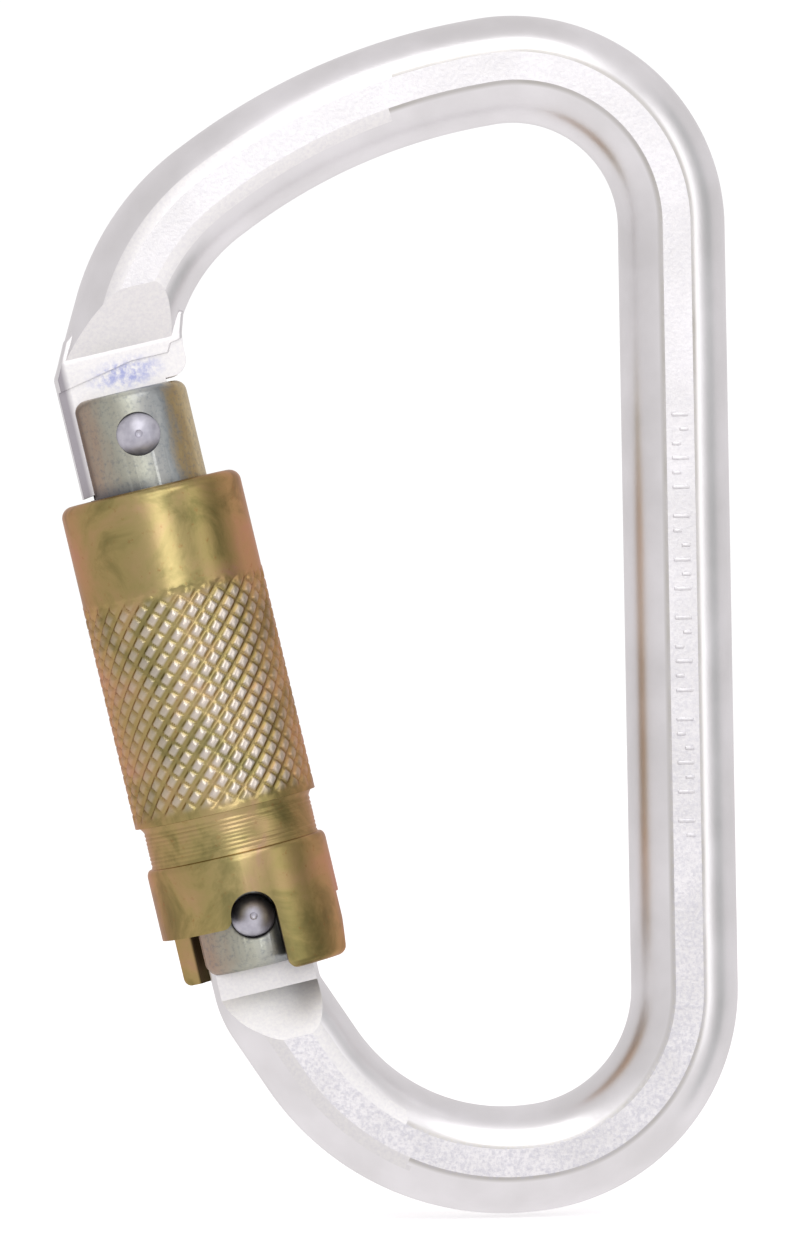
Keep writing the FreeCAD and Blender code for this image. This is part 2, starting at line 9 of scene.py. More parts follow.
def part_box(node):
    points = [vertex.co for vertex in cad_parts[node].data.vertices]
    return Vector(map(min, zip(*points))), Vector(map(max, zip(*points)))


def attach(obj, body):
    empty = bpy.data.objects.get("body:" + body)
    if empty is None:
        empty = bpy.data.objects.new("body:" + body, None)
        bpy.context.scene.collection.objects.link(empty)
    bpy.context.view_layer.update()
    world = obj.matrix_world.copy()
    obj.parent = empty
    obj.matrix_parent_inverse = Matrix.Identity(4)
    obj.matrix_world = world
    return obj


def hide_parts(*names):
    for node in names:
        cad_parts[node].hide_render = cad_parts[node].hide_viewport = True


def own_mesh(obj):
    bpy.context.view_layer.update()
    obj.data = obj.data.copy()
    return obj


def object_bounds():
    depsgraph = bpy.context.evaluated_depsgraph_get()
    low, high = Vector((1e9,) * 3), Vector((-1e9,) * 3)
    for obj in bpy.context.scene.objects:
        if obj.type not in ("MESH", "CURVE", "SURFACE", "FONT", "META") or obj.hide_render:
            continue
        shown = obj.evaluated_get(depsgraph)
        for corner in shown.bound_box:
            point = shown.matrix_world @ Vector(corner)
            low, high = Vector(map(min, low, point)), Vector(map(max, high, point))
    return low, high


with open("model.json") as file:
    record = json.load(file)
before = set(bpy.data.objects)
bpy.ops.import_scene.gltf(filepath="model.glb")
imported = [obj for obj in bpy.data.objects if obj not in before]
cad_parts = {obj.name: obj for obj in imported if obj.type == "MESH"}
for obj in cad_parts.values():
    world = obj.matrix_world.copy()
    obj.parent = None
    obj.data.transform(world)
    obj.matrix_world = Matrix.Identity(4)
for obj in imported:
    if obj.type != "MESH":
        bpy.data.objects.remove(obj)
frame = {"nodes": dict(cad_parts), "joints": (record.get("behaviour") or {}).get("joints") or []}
cad_low, cad_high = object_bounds()

# ------------------------------------------------------------------ studio
# A pale paper floor in a soft white tent: a tall strip light in front, a broad one
# overhead and one to the right, with a grey flag off to the right that puts an edge on
# the bright metal. The paper glows a little, so that it stays white.

scene = bpy.context.scene
scene.view_settings.view_transform = "Standard"
MM = 0.001
floor_level = cad_low.z - 0.4 * MM
camera_distance = 0.85
camera_yaw = math.radians(4.0)
camera_roll = math.radians(1.0)
frame_height = 138.56 * MM
sensor_height = 36.0


def linear(code):
    """The linear colour of an sRGB hex value."""
    parts = [int(code[k : k + 2], 16) / 255 for k in (1, 3, 5)]
    return [p / 12.92 if p <= 0.04045 else ((p + 0.055) / 1.055) ** 2.4 for p in parts] + [1.0]


def add_node(tree, kind, settings=None, links=None):
    """One node with its settings and the sockets that feed it."""
    made = tree.nodes.new(kind)
    for name, value in (settings or {}).items():
        if isinstance(name, str) and hasattr(made, name):
            setattr(made, name, value)
        else:
            made.inputs[name].default_value = value
    for socket, source in (links or {}).items():
        tree.links.new(source, made.inputs[socket])
    return made


def new_material(name):
    """An empty node material with its output, ready for a shader."""
    material = bpy.data.materials.new(name)
    material.use_nodes = True
    material.node_tree.nodes.clear()
    return material, material.node_tree


def close_material(tree, shader):
    add_node(tree, "ShaderNodeOutputMaterial", links={"Surface": shader.outputs[0]})


def remap(tree, source, span, to=(0.0, 1.0)):
    """Carries a value from one span to another, held at its ends."""
    ends = {"From Min": span[0], "From Max": span[1], "To Min": to[0], "To Max": to[1]}
    return add_node(tree, "ShaderNodeMapRange", ends, {"Value": source})


paper, tree = new_material("seamless_paper")
place = add_node(tree, "ShaderNodeTexCoord")
mottle = add_node(
    tree, "ShaderNodeTexNoise", {"Scale": 30.0, "Detail": 3.0}, {"Vector": place.outputs["Object"]}
)
tint = add_node(tree, "ShaderNodeMix", {"data_type": "RGBA"}, {"Factor": mottle.outputs[0]})
tint.inputs[6].default_value = linear("#fbfbfc")
tint.inputs[7].default_value = linear("#ffffff")
close_material(
    tree,
    add_node(
        tree,
        "ShaderNodeBsdfPrincipled",
        {"Roughness": 0.9, "Emission Color": linear("#ffffff"), "Emission Strength": 0.34},
        {"Base Color": tint.outputs[2]},
    ),
)

floor_half = 3.0
floor_shape = bmesh.new()
bmesh.ops.create_grid(floor_shape, x_segments=1, y_segments=1, size=floor_half)
bmesh.ops.translate(floor_shape, vec=(0, 0, floor_level), verts=floor_shape.verts)
floor_mesh = bpy.data.meshes.new("paper_floor")
floor_shape.to_mesh(floor_mesh)
floor_shape.free()
floor_mesh.materials.append(paper)
paper_floor = bpy.data.objects.new("paper_floor", floor_mesh)
scene.collection.objects.link(paper_floor)
paper_floor.visible_glossy = False

# the tent's own glow, cool grey with a trace of mauve and a little lighter from below,
# is what the metal reflects; behind the object the tent is plain white
world = bpy.data.worlds.new("tent")
scene.world = world
world.use_nodes = True
tree = world.node_tree
tent_way = add_node(tree, "ShaderNodeTexCoord")
tent_split = add_node(tree, "ShaderNodeSeparateXYZ", links={"Vector": tent_way.outputs["Generated"]})
tent_glow = remap(tree, tent_split.outputs["Z"], (-0.5, 0.0), (0.98, 0.8))
glow_shade = add_node(tree, "ShaderNodeBackground", links={"Strength": tent_glow.outputs[0]})
glow_shade.inputs["Color"].default_value = linear("#fffbfc")
white_shade = tree.nodes["Background"]
white_shade.inputs["Color"].default_value = linear("#ffffff")
white_shade.inputs["Strength"].default_value = 1.05
ray = add_node(tree, "ShaderNodeLightPath")
tent_shade = add_node(
    tree,
    "ShaderNodeMixShader",
    links={
        "Fac": ray.outputs["Is Camera Ray"],
        1: glow_shade.outputs[0],
        2: white_shade.outputs[0],
    },
)
tree.links.new(tent_shade.outputs[0], tree.nodes["World Output"].inputs["Surface"])


def tent_light(name, place, size, glow):
    """A rectangular soft light aimed at the middle, as bright as glow times white."""
    data = bpy.data.lights.new(name, "AREA")
    data.shape = "RECTANGLE"
    data.size, data.size_y = size
    data.energy = glow * math.pi * size[0] * size[1]
    lamp = bpy.data.objects.new(name, data)
    lamp.location = place
    lamp.rotation_euler = (-Vector(place)).to_track_quat("-Z", "Y").to_euler()
    lamp.visible_camera = False
    scene.collection.objects.link(lamp)


tent_light("front_strip", (0.0, -1.35, 0.45), (0.54, 0.85), 2.0)
tent_light("top_panel", (0.05, -0.75, 1.0), (0.9, 0.6), 1.6)
tent_light("right_panel", (0.74, -0.68, 0.15), (0.3, 0.9), 1.0)

# the flag: a grey card off to the right that only reflections see
card, tree = new_material("grey_card")
card_place = add_node(tree, "ShaderNodeTexCoord")
card_fleck = add_node(
    tree, "ShaderNodeTexNoise", {"Scale": 20.0}, {"Vector": card_place.outputs["Object"]}
)
card_grey = remap(tree, card_fleck.outputs[0], (0.0, 1.0), (0.5, 0.6))
close_material(
    tree,
    add_node(tree, "ShaderNodeEmission", {"Strength": 1.0}, {"Color": card_grey.outputs[0]}),
)
flag_wide, flag_high, flag_place = 0.29, 1.1, (0.7, -0.14, 0.05)
flag = bmesh.new()
bmesh.ops.create_grid(flag, x_segments=1, y_segments=1, size=0.5)
bmesh.ops.scale(flag, vec=(flag_wide, flag_high, 1), verts=flag.verts)
bmesh.ops.rotate(flag, matrix=Matrix.Rotation(math.radians(90), 3, "X"), verts=flag.verts)
bmesh.ops.rotate(flag, matrix=Matrix.Rotation(math.radians(92), 3, "Z"), verts=flag.verts)
bmesh.ops.translate(flag, vec=flag_place, verts=flag.verts)
flag_mesh = bpy.data.meshes.new("side_flag")
flag.to_mesh(flag_mesh)
flag.free()
flag_mesh.materials.append(card)
side_flag = bpy.data.objects.new("side_flag", flag_mesh)
scene.collection.objects.link(side_flag)
side_flag.visible_camera = False
side_flag.visible_diffuse = False
side_flag.visible_shadow = False

camera_data = bpy.data.cameras.new("camera")
camera_data.sensor_fit = "VERTICAL"
camera_data.sensor_height = sensor_height
camera_data.lens = sensor_height * camera_distance / frame_height
camera = bpy.data.objects.new("camera", camera_data)
scene.collection.objects.link(camera)
scene.camera = camera
aim = Vector((0.37, 0.0, -0.19)) * MM
away = Vector((-math.sin(camera_yaw), -math.cos(camera_yaw), 0.0))
turn = (-away).to_track_quat("-Z", "Y").to_matrix().to_4x4()
camera.matrix_world = (
    Matrix.Translation(aim + away * camera_distance) @ turn @ Matrix.Rotation(-camera_roll, 4, "Z")
)

# ------------------------------------------------------------------ bent frame
# The frame: one length of 12 mm steel bar, cold bent, with a narrow flat pressed
# down its front and back and its two ends forged thin to make the latch tongue
# and the hinge tang. Bright zinc plated, satin on the flats where the die bore.

joints = {joint["name"]: joint for joint in frame["joints"]}
hinge = Vector(joints["gate_pivot"]["pos_m"])
gate_up = Vector(joints["sleeve_lift"]["axis"]).normalized()
lean = math.atan2(-gate_up.x, gate_up.z)
latch_rise = (sum(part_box("latch_pin"), Vector()) / 2 - hinge).length / MM
from_gate = Matrix.Translation(hinge) @ Matrix.Rotation(-lean, 4, "Y") @ Matrix.Scale(MM, 4)

bar_radius = 6.0
bar_flat = 5.79
tang_half = 2.5
tang_crease, tang_ramp = -8.7, -14.3
tongue_half, nose_flat = 2.4, 2.75
nose_crease, nose_ramp = latch_rise + 9.8, latch_rise + 16.1
step_rise, step_slope = latch_rise + 7.95, math.tan(math.radians(11.2))
spine_foot = Vector((41.93, 0, -36.13))
spine_head_rise = latch_rise + 29.61
spine_head = Vector(
    (spine_foot.x + (spine_head_rise - spine_foot.z) * math.tan(lean), 0, spine_head_rise)
)
bar_corners = [
    (Vector((0, 0, -1)), 0),
    (Vector((0, 0, -9.7)), 8),
    (Vector((8.65, 0, -32.25)), 26),
    (spine_foot, 19),
    (spine_head, 17.8),
    (Vector((30.24, 0, latch_rise + 31.57)), 69),
    (Vector((6.36, 0, latch_rise + 21.13)), 25),
    (Vector((-3.49, 0, latch_rise + 3)), 0),
]


def apply_modifiers(thing):
    """Bakes the live modifiers into the mesh."""
    bpy.context.view_layer.update()
    graph = bpy.context.evaluated_depsgraph_get()
    baked = bpy.data.meshes.new_from_object(thing.evaluated_get(graph))
    thing.modifiers.clear()
    thing.data = baked


def loose_object(name, shape):
    """An object from a bmesh, still in gate millimetres."""
    mesh = bpy.data.meshes.new(name)
    shape.to_mesh(mesh)
    shape.free()
    thing = bpy.data.objects.new(name, mesh)
    scene.collection.objects.link(thing)
    return thing


def carve(thing, cutters):
    """Takes each cutter out of the object, and removes the cutters."""
    for cutter in cutters:
        tool = thing.modifiers.new("carve", "BOOLEAN")
        tool.operation = "DIFFERENCE"
        tool.solver = "EXACT"
        tool.object = cutter
    apply_modifiers(thing)
    for cutter in cutters:
        bpy.data.objects.remove(cutter)


def settle(thing, body, material, nodes, smooth_angle=35.0):
    """Puts a finished piece in the row frame and on its body."""
    thing.data.transform(from_gate)
    thing.data.materials.clear()
    thing.data.materials.append(material)
    for face in thing.data.polygons:
        face.use_smooth = True
    thing.data.set_sharp_from_angle(angle=math.radians(smooth_angle))
    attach(thing, body)
    if nodes:
        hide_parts(*nodes)


def flat_shape(corners, half):
    """A plate from an outline in the gate's plane, thick to both sides."""
    shape = bmesh.new()
    ring = [shape.verts.new((x, -half, z)) for x, z in corners]
    face = shape.faces.new(ring)
    grown = bmesh.ops.extrude_face_region(shape, geom=[face])
    moved = [v for v in grown["geom"] if isinstance(v, bmesh.types.BMVert)]
    bmesh.ops.translate(shape, vec=(0, 2 * half, 0), verts=moved)
    bmesh.ops.recalc_face_normals(shape, faces=shape.faces)
    return shape


def arc(x, z, radius, first, last, steps):
    """Points round an arc, angles in degrees from +X toward +Z."""
    turns = [math.radians(first + (last - first) * k / steps) for k in range(steps + 1)]
    return [(x + radius * math.cos(t), z + radius * math.sin(t)) for t in turns]


def disc(x, z, radius, half, steps=64):
    """A round plate lying in the gate's plane."""
    shape = bmesh.new()
    bmesh.ops.create_cone(
        shape, cap_ends=True, segments=steps, radius1=radius, radius2=radius, depth=2 * half
    )
    bmesh.ops.rotate(shape, matrix=Matrix.Rotation(math.radians(90), 3, "X"), verts=shape.verts)
    bmesh.ops.translate(shape, vec=(x, 0, z), verts=shape.verts)
    return shape


# the bar, run round its bends one leg at a time
bar = bmesh.new()
bmesh.ops.create_circle(bar, cap_ends=False, segments=120, radius=bar_radius)
bmesh.ops.translate(bar, vec=bar_corners[0][0], verts=bar.verts)
start_ring = list(bar.edges)
ring = list(bar.edges)
here = bar_corners[0][0]
for k in range(1, len(bar_corners)):
    corner, radius = bar_corners[k]
    into = (corner - bar_corners[k - 1][0]).normalized()
    if radius:
        out = (bar_corners[k + 1][0] - corner).normalized()
        bend = into.angle(out)
        reach = radius * math.tan(bend / 2)
        stop = corner - into * reach
    else:
        stop = corner
    grown = bmesh.ops.extrude_edge_only(bar, edges=ring)
    ring = [g for g in grown["geom"] if isinstance(g, bmesh.types.BMEdge)]
    ring = [e for e in ring if all(v in grown["geom"] for v in e.verts)]
    moved = [g for g in grown["geom"] if isinstance(g, bmesh.types.BMVert)]
    bmesh.ops.translate(bar, vec=stop - here, verts=moved)
    if radius:
        axis = into.cross(out).normalized()
        centre = stop + axis.cross(into) * radius
        spun = bmesh.ops.spin(
            bar, geom=ring, cent=centre, axis=axis, angle=bend, steps=max(8, int(bend * radius / 0.5))
        )
        ring = [g for g in spun["geom_last"] if isinstance(g, bmesh.types.BMEdge)]
        here = corner + out * reach
bmesh.ops.remove_doubles(bar, verts=bar.verts, dist=0.0001)
for vert in bar.verts:
    vert.co.y = max(-bar_flat, min(bar_flat, vert.co.y))
bmesh.ops.holes_fill(bar, edges=[e for e in bar.edges if e.is_boundary])
bmesh.ops.recalc_face_normals(bar, faces=bar.faces)

# the tongue, with its hook mouth toward the spine for the latch pin to swing into
pin_seat = 1.9
tip_radius = latch_rise - 5.1
tongue_outer, tongue_inner = -7.45, 4.6
tip_first = math.degrees(math.acos(tongue_outer / tip_radius))
tip_last = math.degrees(math.acos(tongue_inner / tip_radius))
swing_out, swing_in = latch_rise + pin_seat, latch_rise - pin_seat
mouth_low = math.degrees(math.acos(tongue_inner / swing_in))
mouth_high = math.degrees(math.acos(tongue_inner / swing_out))
tongue_outline = arc(0, 0, tip_radius, tip_first, tip_last, 12)
tongue_outline += arc(0, 0, swing_in, mouth_low, 90, 8)
tongue_outline += arc(0, latch_rise, pin_seat, 270, 90, 16)[1:-1]
tongue_outline += arc(0, 0, swing_out, 90, mouth_high, 8)
tongue_outline += [(tongue_inner, latch_rise + 5.4)]
tongue_outline += arc(5.4, latch_rise + 7.3, 1.9, 270, 358, 8)
tongue_outline += [(7.32, latch_rise + 8.6), (7.5, latch_rise + 9.9), (8.25, latch_rise + 12.2)]
tongue_outline += [(1.0, latch_rise + 17), (-5.5, latch_rise + 12), (-7.5, latch_rise + 8)]


def side_mill(corners, reach):
    """What is milled off the front and back, from an outline of (depth, height)."""
    front = flat_shape(corners, reach)
    bmesh.ops.rotate(front, matrix=Matrix.Rotation(math.radians(-90), 3, "Z"), verts=front.verts)
    back = front.copy()
    bmesh.ops.rotate(back, matrix=Matrix.Rotation(math.radians(180), 3, "Z"), verts=back.verts)
    return [loose_object("front_mill", front), loose_object("back_mill", back)]


def join_solids(thing, others):
    """Welds more solids on to the object, and removes them."""
    for other in others:
        weld = thing.modifiers.new("weld", "BOOLEAN")
        weld.operation = "UNION"
        weld.solver = "EXACT"
        weld.object = other
    apply_modifiers(thing)
    for other in others:
        bpy.data.objects.remove(other)


frame_bar = loose_object("frame_bar", bar)
clear_side = bar_radius + 1
tang_mill = [(clear_side, 20), (tang_half, 20), (tang_half, tang_crease)]
tang_mill += [(bar_flat, tang_ramp), (clear_side, tang_ramp)]
nose_mill = [(clear_side, latch_rise - 15), (nose_flat, latch_rise - 15), (nose_flat, nose_crease)]
nose_mill += [(bar_flat, nose_ramp), (clear_side, nose_ramp)]
nose_trim = flat_shape([(-20, 30), (14, 30), (14, latch_rise + 8.2), (-20, latch_rise + 8.2)], 10)
mills = side_mill(tang_mill, 20) + side_mill(nose_mill, 22)
carve(frame_bar, mills + [loose_object("nose_trim", nose_trim)])
plate = flat_shape(tongue_outline, nose_flat)
rims = [e for e in plate.edges if abs(e.verts[0].co.y - e.verts[1].co.y) < 0.01]
bmesh.ops.bevel(
    plate, geom=rims, offset=0.5, segments=4, profile=0.5, affect="EDGES", material=-1
)
tongue = loose_object("tongue", plate)
step_line = [(-20, step_rise - 20 * step_slope), (20, step_rise + 20 * step_slope)]
step_line += [(20, latch_rise - 30), (-20, latch_rise - 30)]
steps = []
for side in (-1, 1):
    step = flat_shape(step_line, 2.5)
    bmesh.ops.translate(step, vec=(0, side * (tongue_half + 2.5), 0), verts=step.verts)
    steps.append(loose_object("tongue_step", step))
carve(tongue, steps)
eye_radius, eye_bore = 3.1, 2.05
cam_radius, cam_offset, cam_turn = 4.0, 2.35, math.radians(20)
tang_cam = disc(
    cam_offset * math.cos(cam_turn), -cam_offset * math.sin(cam_turn), cam_radius, tang_half
)
tang_eye = disc(0, 0, eye_radius, tang_half)
join_solids(
    frame_bar,
    [tongue, loose_object("tang_eye", tang_eye), loose_object("tang_cam", tang_cam)],
)
carve(frame_bar, [loose_object("hinge_bore", disc(0, 0, eye_bore, 4))])



def noise(tree, size, where, settings):
    """Soft noise whose grain is about that many millimetres across."""
    settings = {"Scale": 1 / (size * MM), **settings}
    return add_node(tree, "ShaderNodeTexNoise", settings, {"Vector": where})


def times(tree, first, second):
    return add_node(tree, "ShaderNodeMath", {"operation": "MULTIPLY"}, {0: first, 1: second})


def dyed(tree, share, colour, code):
    """A colour with that share of a second one laid over it."""
    links = {"Factor": share, 6: colour}
    made = add_node(tree, "ShaderNodeMix", {"data_type": "RGBA"}, links)
    made.inputs[7].default_value = linear(code)
    return made


def ramp(tree, source, first, last, *between):
    """A colour ramp from (place, colour) stops: its two ends, then what lies between."""
    made = add_node(tree, "ShaderNodeValToRGB", links={"Fac": source})
    stops = made.color_ramp.elements
    for stop, (spot, code) in zip(stops, (first, last)):
        stop.position = spot
        stop.color = linear(code)
    for spot, code in between:
        stops.new(spot).color = linear(code)
    return made


# bright zinc over drawn steel: near-white, faintly cool, with soft long reflections
# on the round and a sandy, more scattered sheen on the pressed flats
zinc_plate, tree = new_material("bright_zinc_plate")
place = add_node(tree, "ShaderNodeTexCoord")
object_place = place.outputs["Object"]
apart = add_node(tree, "ShaderNodeSeparateXYZ", links={"Vector": object_place})
across = add_node(tree, "ShaderNodeMath", {"operation": "ABSOLUTE"}, {0: apart.outputs["Y"]})
on_flat = remap(tree, across.outputs[0], (5.66 * MM, 5.76 * MM))
cloud = noise(tree, 9, object_place, {"Detail": 4.0})
sand = noise(tree, 0.35, object_place, {"Detail": 3.0, "Roughness": 0.6})
zinc_colour = ramp(tree, cloud.outputs[0], (0.35, "#e0dfe0"), (0.65, "#edecee"))
# a painted reflection: a thin olive line along each edge of the flat, broken up by the cloud noise
flat_edge = remap(tree, across.outputs[0], (5.58 * MM, 5.72 * MM))
past_edge = remap(tree, across.outputs[0], (5.785 * MM, 5.789 * MM), (1.0, 0.0))
edge_reflection_line = times(tree, flat_edge.outputs[0], past_edge.outputs[0])
edge_reflection_broken = times(tree, edge_reflection_line.outputs[0], cloud.outputs[0])
reflection_lined = dyed(tree, edge_reflection_broken.outputs[0], zinc_colour.outputs[0], "#9d998c")
sand_shade = remap(tree, sand.outputs[0], (0.4, 0.66), (0.0, 0.6))
# the flats' own sandy grain, painted stronger toward the bottom of the frame and fainter toward the
# top: painted shade, with the light from above
shade_toward_bottom = remap(tree, apart.outputs["Z"], (-45 * MM, 10 * MM), (1.0, 0.35))
sand_faded = times(tree, sand_shade.outputs[0], shade_toward_bottom.outputs[0])
sand_on_flat = times(tree, sand_faded.outputs[0], on_flat.outputs[0])
sanded = dyed(tree, sand_on_flat.outputs[0], reflection_lined.outputs[2], "#c3c3cd")
zinc_rough = remap(tree, on_flat.outputs[0], (0.0, 1.0), (0.25, 0.42))
rough_varied = add_node(
    tree,
    "ShaderNodeMath",
    {"operation": "MULTIPLY_ADD", 1: 0.12},
    {0: cloud.outputs[0], 2: zinc_rough.outputs[0]},
)
grain_height = remap(tree, on_flat.outputs[0], (0.0, 1.0), (0.12, 0.7))
grain = add_node(
    tree,
    "ShaderNodeBump",
    {"Distance": 0.05 * MM},
    {"Height": sand.outputs[0], "Strength": grain_height.outputs[0]},
)
close_material(
    tree,
    add_node(
        tree,
        "ShaderNodeBsdfPrincipled",
        {"Metallic": 1.0},
        {
            "Base Color": sanded.outputs[2],
            "Roughness": rough_varied.outputs[0],
            "Normal": grain.outputs[0],
        },
    ),
)



def gate_place(tree):
    """Places along the closed gate: X across it, Z up it from the hinge."""
    place = add_node(tree, "ShaderNodeTexCoord")
    settings = {"vector_type": "TEXTURE", "Location": hinge, "Rotation": (0, -lean, 0)}
    return add_node(tree, "ShaderNodeMapping", settings, {"Vector": place.outputs["Object"]})


# the milled ends keep the cutter's fine grain under the zinc: duller, with a blue
# flash of passivate low on the nose
milled_zinc, tree = new_material("milled_zinc_plate")
along_gate = gate_place(tree)
mill_grain = noise(tree, 0.4, along_gate.outputs[0], {"Detail": 4.0, "Roughness": 0.65})
mill_colour = ramp(tree, mill_grain.outputs[0], (0.38, "#f8f7f6"), (0.66, "#efeef0"))
# the flash lies in a band under the nose's step, longer than it is high
band_scale = Vector((0.42, 0, 1))
nose_middle = Vector((0.3, 0, latch_rise + 7.0)) * MM * band_scale
squeezed = add_node(
    tree,
    "ShaderNodeVectorMath",
    {"operation": "MULTIPLY", 1: band_scale},
    {0: along_gate.outputs[0]},
)
from_nose = add_node(
    tree,
    "ShaderNodeVectorMath",
    {"operation": "DISTANCE", 1: nose_middle},
    {0: squeezed.outputs[0]},
)
near_nose = remap(tree, from_nose.outputs["Value"], (0.8 * MM, 2.1 * MM), (1.0, 0.0))
blue_patch = noise(tree, 0.9, along_gate.outputs[0], {"Detail": 4.0, "Roughness": 0.7})
blue_mask = remap(tree, blue_patch.outputs[0], (0.4, 0.62))
blue_share = times(tree, near_nose.outputs[0], blue_mask.outputs[0])
flashed = dyed(tree, blue_share.outputs[0], mill_colour.outputs[0], "#b3b9e2")
gate_sides = add_node(tree, "ShaderNodeSeparateXYZ", links={"Vector": along_gate.outputs[0]})
# painted shade: the milled face is painted greyer along its outer side, away from the light
outer_side_shade = remap(tree, gate_sides.outputs["X"], (-6.0 * MM, -6.7 * MM))
outer_side_shaded = dyed(tree, outer_side_shade.outputs[0], flashed.outputs[2], "#a9a5ab")
# painted shade: below the nose's crease the milled face is painted a little darker (0.88) than the
# facet above it
nose_band = remap(
    tree,
    gate_sides.outputs["Z"],
    ((latch_rise + 9.3) * MM, (latch_rise + 9.6) * MM),
    (0.88, 1.0),
)
banded = add_node(
    tree,
    "ShaderNodeVectorMath",
    {"operation": "SCALE"},
    {0: outer_side_shaded.outputs[2], "Scale": nose_band.outputs[0]},
)
mill_bump = add_node(
    tree,
    "ShaderNodeBump",
    {"Strength": 0.25, "Distance": 0.04 * MM},
    {"Height": mill_grain.outputs[0]},
)
close_material(
    tree,
    add_node(
        tree,
        "ShaderNodeBsdfPrincipled",
        {"Metallic": 1.0, "Roughness": 0.5},
        {"Base Color": banded.outputs[0], "Normal": mill_bump.outputs[0]},
    ),
)
settle(frame_bar, "frame", zinc_plate, ["carabiner_body"], 13)
frame_bar.data.materials.append(milled_zinc)
# milled faces look to the front or the back from below the bar's own flats
for face in frame_bar.data.polygons:
    off_middle = abs(face.center.y) / MM
    if abs(face.normal.y) > 0.86 and off_middle < bar_flat - 0.02 and face.center.x < 0.0:
        face.material_index = 1

# ------------------------------------------------------------------ stamped marks
# A row of plain raised bars that the forging die leaves down the front of the spine,
# long and short in groups. They are part of the bar and share its plating.

mark_lengths = (1.9, 1.9, 1.0, 1.9, 1.0, 1.0)
mark_rows, mark_group, mark_step, mark_first = 30, 7, 1.62, 22.0
mark_wide, mark_thick, mark_proud = 0.42, 0.7, 0.16
spine_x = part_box("carabiner_body")[1].x / MM - bar_radius
marks = bmesh.new()
for k in range(mark_rows):
    if k % mark_group == mark_group - 1:
        continue
    long = mark_lengths[(k * 5 + k // mark_group) % len(mark_lengths)]
    before = set(marks.verts)
    bmesh.ops.create_cube(marks, size=1)
    fresh = [v for v in marks.verts if v not in before]
    bmesh.ops.scale(marks, vec=(long, mark_thick, mark_wide), verts=fresh)
    offset = (max(mark_lengths) - long) / 2 * (1 if k % 2 else -1)
    bmesh.ops.translate(
        marks,
        vec=(spine_x + offset, -bar_flat - mark_proud + mark_thick / 2, mark_first - k * mark_step),
        verts=fresh,
    )
bmesh.ops.bevel(
    marks, geom=list(marks.edges), offset=0.12, segments=2, profile=0.5, affect="EDGES", material=-1
)
die_marks = loose_object("die_marks", marks)
die_marks.data.transform(Matrix.Scale(MM, 4))
die_marks.data.materials.append(zinc_plate)
for face in die_marks.data.polygons:
    face.use_smooth = True
die_marks.data.set_sharp_from_angle(angle=math.radians(35))
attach(die_marks, "frame")

# ------------------------------------------------------------------ gate barrel
# The gate's core: a turned steel bar, slotted at the top for the tongue and at the
# foot for the tang, and cross drilled for the two pins. Zinc plated and passivated
# a grey olive, polished by the sleeve where that slides on it.

barrel_radius = 6.65
barrel_foot, barrel_head = -5.8, latch_rise + 5.0
foot_round, head_round, slot_gap = 1.2, 1.3, 0.1
spring_bore, pin_drill = 2.38, 2.45


def turned(profile, steps=160):
    """A closed solid turned about the gate's axis from (radius, height) points."""
    shape = bmesh.new()
    verts = [shape.verts.new((r, 0, z)) for r, z in profile]
    edges = [shape.edges.new(pair) for pair in zip(verts, verts[1:])]
    bmesh.ops.spin(
        shape,
        geom=verts + edges,
        cent=(0, 0, 0),
        axis=(0, 0, 1),
        angle=math.radians(360),
        steps=steps,
        use_merge=True,
    )
    bmesh.ops.remove_doubles(shape, verts=shape.verts, dist=0.0005)
    bmesh.ops.recalc_face_normals(shape, faces=shape.faces)
    return shape


def block(low, high):
    """A box between two corners."""
    shape = bmesh.new()
    bmesh.ops.create_cube(shape, size=1)
    span = Vector(high) - Vector(low)
    bmesh.ops.scale(shape, vec=span, verts=shape.verts)
    bmesh.ops.translate(shape, vec=(Vector(low) + Vector(high)) / 2, verts=shape.verts)
    return shape


def soften(thing, width, segments=2, angle=40):
    """Breaks the sharp edges as a file or tumbling would."""
    edge = thing.modifiers.new("soften", "BEVEL")
    edge.width = width
    edge.segments = segments
    edge.limit_method = "ANGLE"
    edge.angle_limit = math.radians(angle)
    edge.use_clamp_overlap = True
    apply_modifiers(thing)


barrel_profile = [(0, barrel_foot)]
barrel_profile += arc(barrel_radius - foot_round, barrel_foot + foot_round, foot_round, -90, 0, 8)
barrel_profile += arc(barrel_radius - head_round, barrel_head - head_round, head_round, 0, 90, 8)
barrel_profile += [(0, barrel_head)]
barrel = loose_object("barrel", turned(barrel_profile))
foot_half, head_half = tang_half + slot_gap, tongue_half + slot_gap
bore_line = [(0, 5), (spring_bore, 5), (spring_bore, 24), (0, 24)]
carve(
    barrel,
    [
        loose_object("foot_slot", block((-12, -foot_half, -12), (12, foot_half, 6.5))),
        loose_object("head_slot", block((-12, -head_half, latch_rise - 6), (4.9, head_half, 80))),
        loose_object("spring_bore", turned(bore_line, 48)),
        loose_object("hinge_drill", disc(0, 0, pin_drill, 10)),
        loose_object("latch_drill", disc(0, latch_rise, pin_drill, 10)),
    ],
)
soften(barrel, 0.18)

